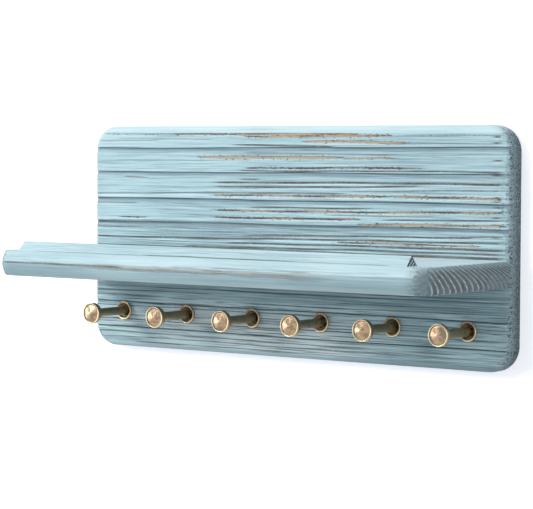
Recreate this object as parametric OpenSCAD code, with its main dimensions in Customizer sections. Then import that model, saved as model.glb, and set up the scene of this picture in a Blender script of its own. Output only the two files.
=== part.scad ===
// Wall key holder with a shelf.
// The origin is the centre of the board's back face. X runs along the board, the wall is the
// plane Y = 0 with the front towards -Y, and Z is up. Sizes are in millimetres.

/* [Backboard] */
// Length of the backboard
board_w = 400; // [300:1:600]
// Height of the backboard
board_h = 183; // [160:1:260]
// Thickness of the backboard
board_t = 15; // [12:0.5:20]
// Radius of the four corners, seen from the front
board_corner_r = 20; // [8:1:30]
// Radius that eases the front edge all round
board_edge_r = 5; // [2:0.5:6]
// Heights of the wide brushed grooves above the bottom edge
wide_groove_heights = [166, 146, 125, 105.2]; // [95:0.1:175]
// Depth of a wide groove at its crisp upper edge
wide_groove_depth = 1.4; // [0.4:0.1:3]
// Height of a wide groove, from its crisp edge to where it runs out
wide_groove_run = 5; // [3:0.5:8]
// Heights of the narrow grooves under the shelf above the bottom edge
narrow_groove_heights = [37.9, 16.8]; // [8:0.1:55]
// Depth of a narrow groove
narrow_groove_depth = 1.1; // [0.3:0.1:2]
// Height of a narrow groove
narrow_groove_run = 2; // [1:0.5:4]

/* [Shelf] */
// How far the shelf stands out from the front of the backboard
shelf_d = 123; // [80:1:160]
// Thickness of the shelf
shelf_t = 20; // [16:1:26]
// Height of the shelf's underside above the bottom edge of the backboard
shelf_underside = 63.4; // [50:0.1:90]
// Radius of the two front corners, seen from above
shelf_corner_r = 16; // [12:1:30]
// How far the upper half of the nose rounds back
nose_back_above = 7.5; // [4:0.5:10]
// How far the lower half of the nose rounds back
nose_back_below = 6; // [4:0.5:10]
// How far the two straight flats beside the nose's worn arris lean back
nose_lean = 0.7; // [0:0.1:1.5]
// Easing of the long edges at the square-cut ends
end_ease = 0.8; // [0.2:0.1:2]

/* [Lip] */
// Length of the lip strip
lip_w = 364; // [200:1:380]
// Width of the strip's foot on the shelf
lip_foot = 13.5; // [8:0.5:20]
// Height of the strip
lip_h = 7.2; // [4:0.1:14]
// Radius of the worn ridge of the strip
lip_ridge_r = 0.8; // [0.3:0.1:2]
// Distance from the shelf's front edge back to the ridge
lip_setback = 16.7; // [14:0.1:40]

/* [Pegs] */
// Number of pegs
peg_count = 6; // [2:1:6]
// Distance from peg to peg
peg_pitch = 66.3; // [55:0.1:70]
// Height of the pegs above the bottom edge of the backboard
peg_height = 30; // [25:0.5:45]
// Diameter of the peg's head
head_d = 17; // [14:0.5:22]
// Distance from the front of the backboard to the rim of the head
head_reach = 45; // [30:0.5:60]
// Length of the head behind its rim
head_len = 6.2; // [4:0.1:8]
// Width of the bright flat rim round the head's face
rim_w = 1; // [0.5:0.1:2]
// Depth of the fine groove inside the rim
rim_groove = 0.5; // [0.2:0.1:1]
// How far the cone on the head's face rises above the rim
face_rise = 1.3; // [0:0.1:3]
// Diameter of the peg's shank
shank_d = 7; // [6:0.5:9]
// Diameter of the dished cup at its lip
cup_d = 15.5; // [13:0.5:20]
// Height of the dished cup
cup_h = 3.6; // [2.5:0.1:6]
// How much narrower the cup is at its foot than at its lip, on each side
cup_flare = 1.4; // [0.5:0.1:2]
// Width of the cup's rolled lip
cup_lip_w = 1.5; // [1:0.1:2]

/* [Fixings] */
// Number of wood screws that hold the shelf
shelf_screw_count = 3; // [2:1:3]
// Distance between the shelf screws
shelf_screw_pitch = 150; // [60:1:160]
// Distance between the two keyhole slots in the back
keyhole_pitch = 300; // [200:1:340]
// Height of the keyhole entries above the bottom edge
keyhole_height = 146; // [140:1:155]
// Diameter of a keyhole's entry, which lets a wall screw's head in
keyhole_entry_d = 9.5; // [8:0.5:11]
// Width of a keyhole's neck, which catches the wall screw
keyhole_neck_w = 5; // [4.5:0.5:6]

/* [Hidden] */
$fn = 64;

// Overshoot of a cutting shape past the face that it cuts
cut = 1;
// Gaps round a screw: in a plain hole, then in a threaded one
shank_gap = 0.25;
thread_gap = 0.05;

board_front = -board_t;
shelf_low = from_bottom(shelf_underside);
shelf_mid = shelf_low + shelf_t / 2;
shelf_top = shelf_low + shelf_t;
shelf_front = board_front - shelf_d;
peg_z = from_bottom(peg_height);

// Peg screw: a pan-head machine screw in a counterbored hole
machine_r = 2;
machine_head_r = 3.9;
machine_head_h = 2.6;
machine_grip = 8;
counterbore_r = 4.6;
counterbore_depth = 4;
cup_floor = 1.2;
blind_depth = machine_grip + 1;

// Shelf screw: a countersunk wood screw
wood_r = 2;
wood_head_r = 4;
wood_head_sink = 0.6;
wood_len = 45;
wood_point = 6;

// Keyhole slot
keyhole_neck_depth = 3;
keyhole_depth = 8.5;
keyhole_travel = 12;

function from_bottom(h) = h - board_h / 2;
function peg_x(i) = (i - (peg_count + 1) / 2) * peg_pitch;
function shelf_screw_x(i) = (i - (shelf_screw_count + 1) / 2) * shelf_screw_pitch;

// Points on an arc, from angle a to angle b
function arc(cx, cy, r, a, b, steps) =
    [for (s = [0 : steps]) let (t = a + (b - a) * s / steps) [cx + r * cos(t), cy + r * sin(t)]];

// Turns a profile about an axis that points out of the wall: radius, then distance from the board
module turned(x, z, start = board_front) {
    translate([x, start, z]) rotate([90, 0, 0]) rotate_extrude() children();
}

// A straight bore square to the wall, from depth y0 to depth y1 in front of the wall
module bore(x, z, r, y0, y1) {
    translate([x, -y0, z]) rotate([90, 0, 0]) cylinder(r = r, h = y1 - y0);
}

// Section of the board's edge: flat to the wall, rounded to the front, with the outer side at 0
module edge_section(width) {
    r = board_edge_r;
    translate([-width, 0]) square([width - r, board_t]);
    translate([-r, 0]) square([r, board_t - r]);
    intersection() {
        translate([-r, board_t - r]) circle(r);
        translate([-r, board_t - r]) square(r);
    }
}

// A quarter of a round corner, standing on the wall and reaching out to the front
module board_corner() {
    rotate([90, 0, 0]) rotate_extrude(angle = 90)
        translate([board_corner_r, 0]) edge_section(board_corner_r);
}

// The blank plank: a strip along the top and bottom, four corners and the middle between them
module board_blank() {
    strip_x = board_w / 2 - board_corner_r;
    strip_z = board_h / 2 - board_corner_r;
    for (side = [0, 1]) mirror([0, 0, side]) {
        translate([-strip_x, 0, board_h / 2]) rotate([90, 0, 90])
            linear_extrude(2 * strip_x) rotate(90) edge_section(board_corner_r);
        for (end = [0, 1]) mirror([end, 0, 0]) translate([strip_x, 0, strip_z]) board_corner();
    }
    for (end = [0, 1]) mirror([end, 0, 0]) translate([board_w / 2, 0, -strip_z])
        linear_extrude(2 * strip_z) mirror([0, 1]) edge_section(board_w / 2);
}

// A brushed groove: a crisp undercut at its upper edge, then a hollow that runs out downwards
module groove(height, depth, run) {
    steps = 6;
    crisp = run / 8;
    hollow = [for (s = [0 : steps]) let (t = s / steps)
        [board_front + depth * (1 + cos(180 * t)) / 2, -crisp - (run - crisp) * t]];
    translate([-board_w / 2 - cut, 0, from_bottom(height)]) rotate([90, 0, 90])
        linear_extrude(board_w + 2 * cut)
            polygon(concat([[board_front - cut, 0], [board_front, 0]], hollow, [[board_front - cut, -run]]));
}

// A keyhole slot in the back: a round entry, a neck above it and a wider pocket behind the neck
module keyhole(x) {
    z = from_bottom(keyhole_height);
    bore(x, z, keyhole_entry_d / 2, -cut, keyhole_depth);
    keyhole_channel(x, z, keyhole_neck_w, -cut, keyhole_depth);
    keyhole_channel(x, z, keyhole_entry_d, keyhole_neck_depth, keyhole_depth);
}

// An upright slot with a round upper end
module keyhole_channel(x, z, w, y0, y1) {
    translate([x - w / 2, -y1, z]) cube([w, y1 - y0, keyhole_travel]);
    bore(x, z + keyhole_travel, w / 2, y0, y1);
}

module backboard() {
    color("#8fb6c4") difference() {
        board_blank();
        for (h = wide_groove_heights) groove(h, wide_groove_depth, wide_groove_run);
        for (h = narrow_groove_heights) groove(h, narrow_groove_depth, narrow_groove_run);
        for (i = [1 : peg_count]) {
            bore(peg_x(i), peg_z, machine_r + shank_gap, -cut, board_t + cut);
            bore(peg_x(i), peg_z, counterbore_r, -cut, counterbore_depth);
        }
        for (i = [1 : shelf_screw_count]) shelf_screw_hole(shelf_screw_x(i));
        for (side = [-1, 1]) keyhole(side * keyhole_pitch / 2);
    }
}

// Countersunk hole for a shelf screw
module shelf_screw_hole(x) {
    sink_r = wood_head_r + thread_gap;
    bore_r = wood_r + shank_gap;
    turned(x, shelf_mid, 0) polygon([
        [0, -cut], [sink_r, -cut], [sink_r, wood_head_sink], [bore_r, wood_head_sink + sink_r - bore_r],
        [bore_r, board_t + cut], [0, board_t + cut]]);
}

// How far the nose lies back at a level from -1 (underside) through 0 (arris) to 1 (top)
function nose_back(level) =
    (level > 0 ? nose_back_above : nose_back_below) * (1 - sqrt(max(0, 1 - level * level)))
    + nose_lean * abs(level);
// How far an end face lies back at that level: only its edges are eased
function end_back(level) = end_ease * pow(abs(level), 12);
// Share of the nose in the rounding, from 0 at the square-cut end to 1 at the front
function nose_share(turn) = let (t = min(1, turn / 60)) t * t * (3 - 2 * t);
// A point of the right half of the shelf's outline, at a turn from the end (0) to the front (90)
function corner_point(turn, level) =
    let (share = nose_share(turn),
         back = share * nose_back(level) + (1 - share) * end_back(level),
         r = shelf_corner_r - back)
    [board_w / 2 - shelf_corner_r + r * cos(turn), shelf_front + shelf_corner_r - r * sin(turn)];
// The whole outline at one level, anticlockwise from the rear left corner
function shelf_outline(level, steps) =
    let (right = [for (s = [0 : steps]) corner_point(90 * s / steps, level)])
    concat(
        [[-board_w / 2 + end_back(level), board_front]],
        [for (p = right) [-p[0], p[1]]],
        [for (s = [steps : -1 : 0]) right[s]],
        [[board_w / 2 - end_back(level), board_front]]
    );

// A loft through level outlines: the nose wraps both front corners and dies out at the ends
module shelf_blank() {
    layers = 16;
    steps = 12;
    levels = [for (k = [0 : layers]) sin(-90 + 180 * k / layers)];
    rings = [for (level = levels) shelf_outline(level, steps)];
    count = len(rings[0]);
    points = [for (k = [0 : layers]) for (p = rings[k]) [p[0], p[1], shelf_mid + levels[k] * shelf_t / 2]];
    walls = [for (k = [0 : layers - 1]) for (j = [0 : count - 1])
        let (a = k * count + j, b = k * count + (j + 1) % count)
        each [[a, a + count, b], [b, a + count, b + count]]];
    underside = [for (j = [0 : count - 1]) j];
    top = [for (j = [count - 1 : -1 : 0]) layers * count + j];
    polyhedron(points, concat([underside], walls, [top]));
}

module shelf_board() {
    color("#b9d6df") difference() {
        shelf_blank();
        for (i = [1 : shelf_screw_count])
            bore(shelf_screw_x(i), shelf_mid, wood_r + thread_gap, board_t - cut, wood_len + cut);
    }
}

// Three-cornered strip with a worn ridge, glued on the shelf
module shelf_lip() {
    slope = atan2(lip_h, lip_foot / 2);
    ridge = arc(0, lip_h - lip_ridge_r, lip_ridge_r, 90 - slope, 90 + slope, 6);
    color("#c3dee6") translate([-lip_w / 2, shelf_front + lip_setback, shelf_top]) rotate([90, 0, 90])
        linear_extrude(lip_w)
            polygon(concat([[-lip_foot / 2, 0], [lip_foot / 2, 0]], ridge));
}

// One-piece turned peg: rimmed head with a cone face, flared back, shank and a blind threaded hole
module peg(i) {
    head_r = head_d / 2;
    shank_r = shank_d / 2;
    rim = head_reach;
    neck = rim - head_len;
    flare_r = 0.96 * (head_r - shank_r);
    flare_len = 0.25 * head_len;
    bevel = rim_w / 3;
    face_r = head_r - bevel - rim_w;
    point_r = 0.4;
    hole_r = machine_r + thread_gap;
    hole_end = cup_floor + blind_depth;
    steps = 5;
    flare = [for (s = [0 : steps]) let (t = 90 * s / steps)
        [shank_r + flare_r * sin(t), neck + flare_len * (1 - cos(t))]];
    face = [[head_r, rim - bevel], [head_r - bevel, rim], [face_r, rim], [face_r - rim_groove, rim - rim_groove],
        [point_r, rim + face_rise], [0, rim + face_rise]];
    color("#a98f5f") turned(peg_x(i), peg_z) polygon(concat(
        [[hole_r, cup_floor], [shank_r, cup_floor]], flare, face, [[0, hole_end], [hole_r, hole_end]]));
}

// Dished cup at the foot of a peg, with a rolled lip
module peg_cup(i) {
    lip_r = cup_d / 2;
    roll = cup_lip_w / 3;
    lip_base = cup_h - roll;
    seat_r = shank_d / 2 + shank_gap;
    dish_r = lip_r - cup_lip_w - seat_r;
    dish_h = lip_base - cup_floor;
    hole_r = machine_r + shank_gap;
    steps = 6;
    flank = [for (s = [0 : steps]) let (t = s / steps) [lip_r - cup_flare * (1 - t * t), lip_base * t]];
    rolled = arc(lip_r - roll, lip_base, roll, 30, 120, 3);
    dish = [for (s = [0 : steps]) let (t = 90 * s / steps)
        [seat_r + dish_r * cos(t), lip_base - dish_h * sin(t)]];
    color("#b59a63") turned(peg_x(i), peg_z)
        polygon(concat([[hole_r, 0]], flank, rolled, dish, [[hole_r, cup_floor]]));
}

// Pan-head machine screw, driven from behind into a peg
module peg_screw(i) {
    seat = counterbore_depth;
    tip = board_t + cup_floor + machine_grip;
    edge = 0.8;
    color("#b8b8b4") turned(peg_x(i), peg_z, 0) polygon([
        [0, seat - machine_head_h], [machine_head_r - edge, seat - machine_head_h],
        [machine_head_r, seat - machine_head_h + edge], [machine_head_r, seat], [machine_r, seat],
        [machine_r, tip - edge], [machine_r - edge, tip], [0, tip]]);
}

// Countersunk wood screw, driven from behind into the shelf's rear edge
module shelf_screw(i) {
    neck = wood_head_sink + wood_head_r - wood_r;
    color("#b8b8b4") turned(shelf_screw_x(i), shelf_mid, 0) polygon([
        [0, wood_head_sink], [wood_head_r, wood_head_sink], [wood_r, neck],
        [wood_r, wood_len - wood_point], [0, wood_len]]);
}

backboard();
shelf_board();
shelf_lip();
for (i = [1 : peg_count]) {
    peg(i);
    peg_cup(i);
    peg_screw(i);
}
for (i = [1 : shelf_screw_count]) {
    shelf_screw(i);
}
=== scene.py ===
"""Wall key holder with a shelf: painted pine boards, a lip strip and six turned brass pegs."""
import math

import bmesh
import bpy
import numpy as np
from bpy.props import FloatProperty, FloatVectorProperty, IntProperty, PointerProperty
from mathutils import Matrix, Vector


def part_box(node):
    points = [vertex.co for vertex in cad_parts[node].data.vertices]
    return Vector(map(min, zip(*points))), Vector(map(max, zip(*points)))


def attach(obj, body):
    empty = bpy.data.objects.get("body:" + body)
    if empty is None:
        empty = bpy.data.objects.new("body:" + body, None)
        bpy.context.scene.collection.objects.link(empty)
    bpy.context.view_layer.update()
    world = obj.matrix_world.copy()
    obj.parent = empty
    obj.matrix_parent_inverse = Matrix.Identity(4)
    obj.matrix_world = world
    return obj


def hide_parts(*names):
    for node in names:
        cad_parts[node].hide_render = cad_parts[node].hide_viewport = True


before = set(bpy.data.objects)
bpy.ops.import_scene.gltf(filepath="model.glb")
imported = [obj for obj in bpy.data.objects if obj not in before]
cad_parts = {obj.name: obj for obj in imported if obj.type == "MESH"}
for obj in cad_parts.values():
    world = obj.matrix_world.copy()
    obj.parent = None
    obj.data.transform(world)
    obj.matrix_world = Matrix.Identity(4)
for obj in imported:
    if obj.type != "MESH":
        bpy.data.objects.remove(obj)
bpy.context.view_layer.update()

bl_info = {
    "name": "Wall Key Holder",
    "version": (1, 0, 0),
    "blender": (4, 5, 0),
    "location": "3D View > Sidebar > Key Holder",
    "description": "Builds a wall key holder with a shelf, a lip and six brass pegs",
    "category": "Mesh",
}

MM = 0.001
# How near two places count as one when faces are picked and when doubles are merged, in metres
TOUCH = 1e-5
DOUBLE = 1e-6
PEGS, CUPS, PEG_SCREWS = ([f"{name}_{i}" for i in range(1, 7)] for name in ("peg", "peg_cup", "peg_screw"))
SHELF_SCREWS = [f"shelf_screw_{i}" for i in range(1, 4)]

# Holes in the back of the board, in metres: where each starts and ends in front of the wall,
# its radius, and its radius at the end if that differs
OUTSIDE = -0.001
PEG_HOLES = ((OUTSIDE, 0.016, 0.00225), (OUTSIDE, 0.004, 0.0046))
SHELF_SCREW_HOLES = ((OUTSIDE, 0.016, 0.00225), (OUTSIDE, 0.0006, 0.00405),
                     (0.0006, 0.0024, 0.00405, 0.00225))

# Keyhole slots in the back of the board, in metres
KEYHOLE_X, KEYHOLE_Z = 0.150, 0.146
KEYHOLE_DEPTH, KEYHOLE_SKIN, KEYHOLE_DROP = 0.0085, 0.003, 0.012
KEYHOLE_HEAD, KEYHOLE_SHANK = 0.00475, 0.0025

# Height on the board, in millimetres, that parts the wear above the shelf from that below it
UNDER_SHELF = 64
# A streak that starts or ends beyond this place along the board runs off the wood
RUN_OFF = 194
# Wide grooves: height of the crisp edge at the left, its rise to the right, width of its shade
WIDE_GROOVES = ((165.4, 1.4, 0.42), (145.7, 1.3, 0.42), (124.3, 0.8, 0.8), (104.9, 1.4, 1.2))
NARROW_GROOVES = (37.9, 16.8)

# Streaks on the front of the board, seen in the wood: height above the bottom edge at the left
# and at the right end of the streak, where it starts and ends along the board, half width,
# how dark it is, how far it is worn to the wood, and its depth. All lengths in millimetres.
BOARD_STREAKS = (
    (177.2, 176.9, -198, 20, 0.60, 0.60, 0.62, 0.25),
    (176.3, 176.0, -70, 80, 0.50, 0.60, 0.85, 0.25),
    (175.3, 174.9, 10, 112, 0.55, 0.75, 0.85, 0.25),
    (175.8, 175.0, 90, 196, 0.35, 0.45, 0.30, 0.20),
    (179.6, 178.8, -150, 160, 0.40, 0.30, 0.25, 0.12),
    (174.9, 174.4, -60, 60, 0.45, 0.65, 0.80, 0.20),
    (172.9, 172.3, -190, -60, 0.35, 0.50, 0.15, 0.18),
    (170.6, 169.6, 0, 125, 0.50, 0.60, 0.95, 0.25),
    (171.2, 170.9, -196, -120, 0.40, 0.60, 0.20, 0.20),
    (167.8, 166.4, -70, 60, 0.45, 1.00, 0.00, 0.30),
    (168.6, 168.9, 70, 196, 0.40, 0.50, 0.10, 0.25),
    (161.2, 161.0, -60, 120, 0.35, 0.55, 0.10, 0.20),
    (157.9, 158.3, -104, 66, 0.55, 0.60, 1.00, 0.30),
    (157.6, 157.9, 40, 110, 0.35, 0.50, 0.80, 0.20),
    (159.6, 160.6, 60, 196, 0.40, 0.35, 0.10, 0.22),
    (155.0, 155.8, -190, -20, 0.35, 0.45, 0.05, 0.16),
    (153.2, 154.2, 10, 180, 0.35, 0.30, 0.05, 0.18),
    (149.4, 150.5, -60, 140, 0.55, 0.55, 0.50, 0.22),
    (147.4, 148.1, -66, 198, 0.42, 1.00, 0.10, 0.28),
    (141.3, 140.9, -172, -140, 0.45, 1.00, 0.00, 0.28),
    (140.6, 140.4, -54, -22, 0.45, 0.90, 0.00, 0.28),
    (137.8, 139.3, -90, 197, 0.55, 1.00, 0.30, 0.30),
    (133.9, 136.7, -90, 140, 0.50, 1.00, 0.20, 0.26),
    (132.0, 134.4, 40, 198, 0.35, 0.65, 0.30, 0.20),
    (127.2, 131.1, -197, 70, 0.42, 0.80, 0.10, 0.26),
    (126.9, 129.2, -90, 110, 0.46, 0.90, 0.75, 0.26),
    (129.2, 128.4, 80, 198, 0.50, 0.65, 0.75, 0.26),
    (119.6, 120.4, -197, -145, 0.42, 0.90, 0.05, 0.26),
    (117.5, 119.7, -55, 96, 0.45, 0.95, 0.10, 0.28),
    (114.7, 118.2, -90, 198, 0.46, 0.90, 0.72, 0.28),
    (113.0, 114.2, 20, 150, 0.38, 0.60, 0.20, 0.20),
    (109.5, 111.0, -90, 84, 0.52, 0.95, 0.62, 0.24),
    (108.3, 108.3, -180, -138, 0.42, 0.80, 0.40, 0.24),
    (110.6, 112.2, 70, 198, 0.42, 0.95, 0.15, 0.26),
    (106.8, 108.3, 50, 198, 0.48, 0.60, 0.85, 0.24),
    (99.9, 99.9, -197, -138, 0.42, 0.80, 0.10, 0.24),
    (95.7, 99.3, -60, 185, 0.46, 0.95, 0.25, 0.28),
    (97.4, 100.6, 60, 198, 0.40, 0.85, 0.30, 0.22),
    (91.1, 96.2, -197, 198, 0.50, 1.00, 0.20, 0.30),
    (92.2, 93.6, 30, 190, 0.42, 0.55, 0.75, 0.24),
    (89.3, 90.7, -80, 198, 0.50, 1.00, 0.30, 0.30),
    (85.7, 87.7, -120, 198, 0.50, 0.95, 0.15, 0.28),
    (84.3, 84.3, -198, 198, 0.70, 1.00, 0.00, 0.30),
    (59.0, 59.6, -60, 120, 0.42, 0.70, 0.35, 0.24),
    (55.6, 56.6, -190, 40, 0.42, 0.80, 0.10, 0.24),
    (53.4, 54.6, 60, 196, 0.45, 1.00, 0.00, 0.28),
    (50.2, 51.6, -150, 198, 0.46, 1.00, 0.05, 0.28),
    (46.6, 47.4, -196, -60, 0.42, 0.90, 0.05, 0.26),
    (45.0, 46.4, 30, 190, 0.42, 0.85, 0.05, 0.26),
    (41.0, 42.6, -60, 198, 0.42, 0.90, 0.05, 0.26),
    (33.8, 35.0, -196, 60, 0.42, 0.90, 0.05, 0.26),
    (31.0, 31.8, 60, 196, 0.42, 0.90, 0.05, 0.26),
    (27.4, 28.2, -120, 150, 0.42, 0.85, 0.05, 0.24),
    (22.4, 23.6, -196, 196, 0.48, 1.00, 0.05, 0.28),
    (19.8, 19.0, 20, 180, 0.42, 0.85, 0.05, 0.24),
    (12.2, 11.6, -196, 90, 0.42, 0.85, 0.10, 0.24),
    (8.4, 8.8, -160, 190, 0.42, 0.90, 0.15, 0.26),
    (4.6, 4.4, -170, 120, 0.42, 0.80, 0.10, 0.20),
)

# Streaks round the shelf, in the same form, with the height counted from the middle of the
# front edge: above 10 it goes on over the top, below -10 on under the shelf.
SHELF_STREAKS = (
    (1.0, 0.9, -199, -50, 1.05, 0.95, 0.00, 0.20),
    (1.2, 0.2, -199, -120, 0.40, 0.70, 0.00, 0.16),
    (2.6, 3.4, -60, 120, 0.30, 0.60, 0.30, 0.16),
    (0.4, 1.6, -110, 110, 0.40, 0.80, 0.20, 0.18),
    (-0.6, 1.0, -100, 110, 0.40, 0.74, 0.20, 0.14),
    (-1.7, -0.6, -120, 60, 0.35, 0.62, 0.10, 0.12),
    (0.6, 2.2, 60, 196, 0.80, 0.40, 0.00, 0.14),
    (5.6, 5.0, -199, -110, 0.30, 0.30, 0.00, 0.10),
    (4.2, 3.9, -199, -150, 0.25, 0.30, 0.00, 0.08),
    (3.6, 4.6, 60, 190, 0.60, 0.26, 0.00, 0.08),
    (19.9, 19.9, -183, 183, 1.15, 0.85, 0.00, 0.10),
)

LIP_STREAKS = (
    (3.1, 3.3, -181, 120, 0.25, 0.22, 0.00, 0.08),
    (1.4, 1.5, -181, 181, 0.22, 0.18, 0.00, 0.06),
    (5.4, 5.2, -60, 181, 0.22, 0.18, 0.00, 0.06),
    (0.1, 0.1, -183, 183, 0.60, 1.00, 0.00, 0.05),
)


def srgb(red, green, blue):
    """A colour as a picture shows it, 0 to 255, as Blender's linear values."""
    def linear(value):
        value /= 255
        return value / 12.92 if value <= 0.04045 else ((value + 0.055) / 1.055) ** 2.4
    return linear(red), linear(green), linear(blue), 1.0


def length(name, description, default):
    return FloatProperty(name=name, description=description, default=default, min=0.0, unit="LENGTH")


def colour(name, description, rgb):
    return FloatVectorProperty(name=name, description=description, default=srgb(*rgb), size=4,
                               min=0.0, max=1.0, subtype="COLOR")


def share(name, description, default):
    return FloatProperty(name=name, description=description, default=default, min=0.0, max=1.0,
                         subtype="FACTOR")


def power(name, description, default):
    return FloatProperty(name=name, description=description, default=default, min=0.0, unit="POWER")


class BoardValues(bpy.types.PropertyGroup):
    corner_radius: length("Corner radius", "Radius of the board's corners, seen from the front", 0.020)
    edge_radius: length("Edge radius", "Radius that eases the front edge", 0.005)
    row: length("Row", "Height of one row of faces on the front", 0.00027)
    column: length("Column", "Width of one column of faces", 0.006)
    groove_depth: length("Groove depth", "Depth of a wide brushed groove", 0.0014)
    groove_run: length("Groove run", "Height of a wide brushed groove", 0.005)
    narrow_depth: length("Narrow depth", "Depth of a narrow groove under the shelf", 0.0011)
    narrow_run: length("Narrow run", "Height of a narrow groove under the shelf", 0.002)
    fine_streaks: IntProperty(name="Fine streaks", description="Number of fine scattered streaks",
                              default=120, min=0, max=400)


class ShelfValues(bpy.types.PropertyGroup):
    corner_radius: length("Corner radius", "Radius of the two front corners, seen from above", 0.016)
    back_above: length("Nose above", "How far the upper half of the nose rounds back", 0.0075)
    back_below: length("Nose below", "How far the lower half of the nose rounds back", 0.006)
    lean: length("Nose lean", "How far the flats beside the worn arris lean back", 0.0007)
    end_ease: length("End ease", "Easing of the long edges at the square-cut ends", 0.0008)
    ring_height: length("Ring height", "How far the growth rings stand up on the cut ends", 0.0005)
    levels: IntProperty(name="Levels", description="Rows of faces over the thickness", default=44,
                        min=12, max=80)


class PaintValues(bpy.types.PropertyGroup):
    paint: colour("Paint", "Blue-grey milk paint on the boards", (173, 203, 211))
    # Pale and deep paint show the paint's own uneven tone and also painted light and painted shade; the glaze
    # also draws painted shadow lines at the grooves' edges.
    pale: colour("Pale paint", "Paint where it is brushed thin and chalky", (202, 225, 231))
    deep: colour("Deep paint", "Paint where it gathers", (138, 164, 174))
    glaze: colour("Glaze", "Dark teal glaze in the grain", (36, 54, 62))
    tan: colour("Bare wood", "Wood where the paint is worn through", (184, 160, 134))
    brown: colour("Stained wood", "Dark wood beside worn spots", (82, 70, 64))
    end_grain: colour("End grain", "Grey stained end grain", (142, 163, 172))
    end_light: colour("End ridge", "Light growth rings on the cut ends", (226, 233, 232))
    end_dark: colour("End hollow", "Dark wood between the rings", (106, 116, 119))


class BrassValues(bpy.types.PropertyGroup):
    segments: IntProperty(name="Segments", description="Facets round a turned piece", default=96,
                          min=24, max=128)
    bright: colour("Polished brass", "Brass on rims that hands keep bright", (244, 226, 184))
    warm: colour("Warm brass", "Brass on the face of a head", (206, 176, 144))
    aged: colour("Aged brass", "Dark olive patina on shanks and in hollows", (134, 124, 97))
    soot: colour("Hollow brass", "Brown black patina deep in the cups", (62, 54, 46))
    copper: colour("Copper blush", "Reddish tarnish in patches on the heads", (176, 134, 104))
    grey: colour("Grey tarnish", "Greenish grey tarnish in patches on the heads", (132, 134, 114))
    zinc: colour("Zinc", "Zinc plating of the screws behind the board", (190, 192, 188))


class StageValues(bpy.types.PropertyGroup):
    focal: FloatProperty(name="Focal length", description="Focal length on a 36 mm sensor, in mm",
                         default=143.92, min=10.0, max=400.0)
    distance: length("Distance", "Distance from the camera to the point it looks at", 1.708144)
    yaw: FloatProperty(name="Yaw", description="How far the camera stands to the right of straight on",
                       default=math.radians(36.112), subtype="ANGLE")
    pitch: FloatProperty(name="Pitch", description="How far the camera looks down",
                         default=math.radians(2.828), subtype="ANGLE")
    roll: FloatProperty(name="Roll", description="Turn of the camera about its view",
                        default=math.radians(0.233), subtype="ANGLE")
    top: power("Top lamp", "Power of the lamp high above", 14.8)
    main: power("Main lamp", "Power of the lamp above left", 27.5)
    left: power("Left lamp", "Power of the low lamp at the left", 11.0)
    right: power("Right lamp", "Power of the low lamp at the right", 9.5)
    back: power("Back lamp", "Power of the lamp behind the wall", 14.0)
    sky: share("Room light", "Strength of the light from all round", 0.46)
    room: share("Room", "How light the room looks to the camera and in reflections", 0.80)
    wall: share("Wall", "How light the wall is to the lamps", 0.50)
    lift: share("Wall lift", "Light added to the wall where the camera or a reflection sees it", 0.53)


VALUES = {"board": BoardValues, "shelf": ShelfValues, "paint": PaintValues, "brass": BrassValues,
          "stage": StageValues}


def values(group):
    return getattr(bpy.context.scene, "key_holder_" + group)


# Modelling helpers, each one a step that is also made by hand

def clear_selection():
    if bpy.context.object and bpy.context.object.mode != "OBJECT":
        bpy.ops.object.mode_set(mode="OBJECT")
    bpy.ops.object.select_all(action="DESELECT")


def activate(piece):
    clear_selection()
    piece.select_set(True)
    bpy.context.view_layer.objects.active = piece


def apply_place(name):
    """Puts a new primitive's place and size into its mesh, and names it."""
    bpy.ops.object.transform_apply(location=True, rotation=True, scale=True)
    piece = bpy.context.object
    piece.name = piece.data.name = name
    return piece


def block(name, low, high):
    """A cube between two corners."""
    low, high = Vector(low), Vector(high)
    clear_selection()
    bpy.ops.mesh.primitive_cube_add(size=1, location=(low + high) / 2, scale=high - low)
    return apply_place(name)


def select_all():
    bpy.ops.mesh.select_all(action="SELECT")


def pick(piece, kind, test):
    """Selects, in edit mode, the faces, edges or verts that pass a test."""
    bpy.ops.mesh.select_mode(type={"faces": "FACE", "edges": "EDGE", "verts": "VERT"}[kind])
    bpy.ops.mesh.select_all(action="DESELECT")
    mesh = bmesh.from_edit_mesh(piece.data)
    found = 0
    for element in getattr(mesh, kind):
        if test(element):
            element.select_set(True)
            found += 1
    mesh.select_flush_mode()
    bmesh.update_edit_mesh(piece.data)
    if not found:
        raise RuntimeError(f"{piece.name}: no {kind} were found to work on")


def edit(piece):
    activate(piece)
    bpy.ops.object.mode_set(mode="EDIT")


def done():
    bpy.ops.object.mode_set(mode="OBJECT")


def cut(piece, cutter):
    """Takes the cutter's shape out of the piece."""
    modifier = piece.modifiers.new("cut", "BOOLEAN")
    modifier.object = cutter
    modifier.operation = "DIFFERENCE"
    modifier.solver = "EXACT"
    activate(piece)
    bpy.ops.object.modifier_apply(modifier=modifier.name)
    bpy.data.objects.remove(cutter, do_unlink=True)


def centre_of(node):
    """The middle of a CAD node's box: its place along the board and its height."""
    low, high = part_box(node)
    return (low.x + high.x) / 2, (low.z + high.z) / 2


def drill(piece, x, z, start, end, radius, end_radius=None):
    """Bores a round hole or a countersink square to the wall, between two depths before it."""
    clear_selection()
    bpy.ops.mesh.primitive_cone_add(
        vertices=40, radius1=radius, radius2=radius if end_radius is None else end_radius,
        depth=end - start, location=(x, -(start + end) / 2, z), rotation=(math.pi / 2, 0, 0))
    cut(piece, bpy.context.object)


def bore(piece, nodes, z, holes):
    """Bores the same holes behind each node of a row."""
    for node in nodes:
        for hole in holes:
            drill(piece, centre_of(node)[0], z, *hole)


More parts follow.
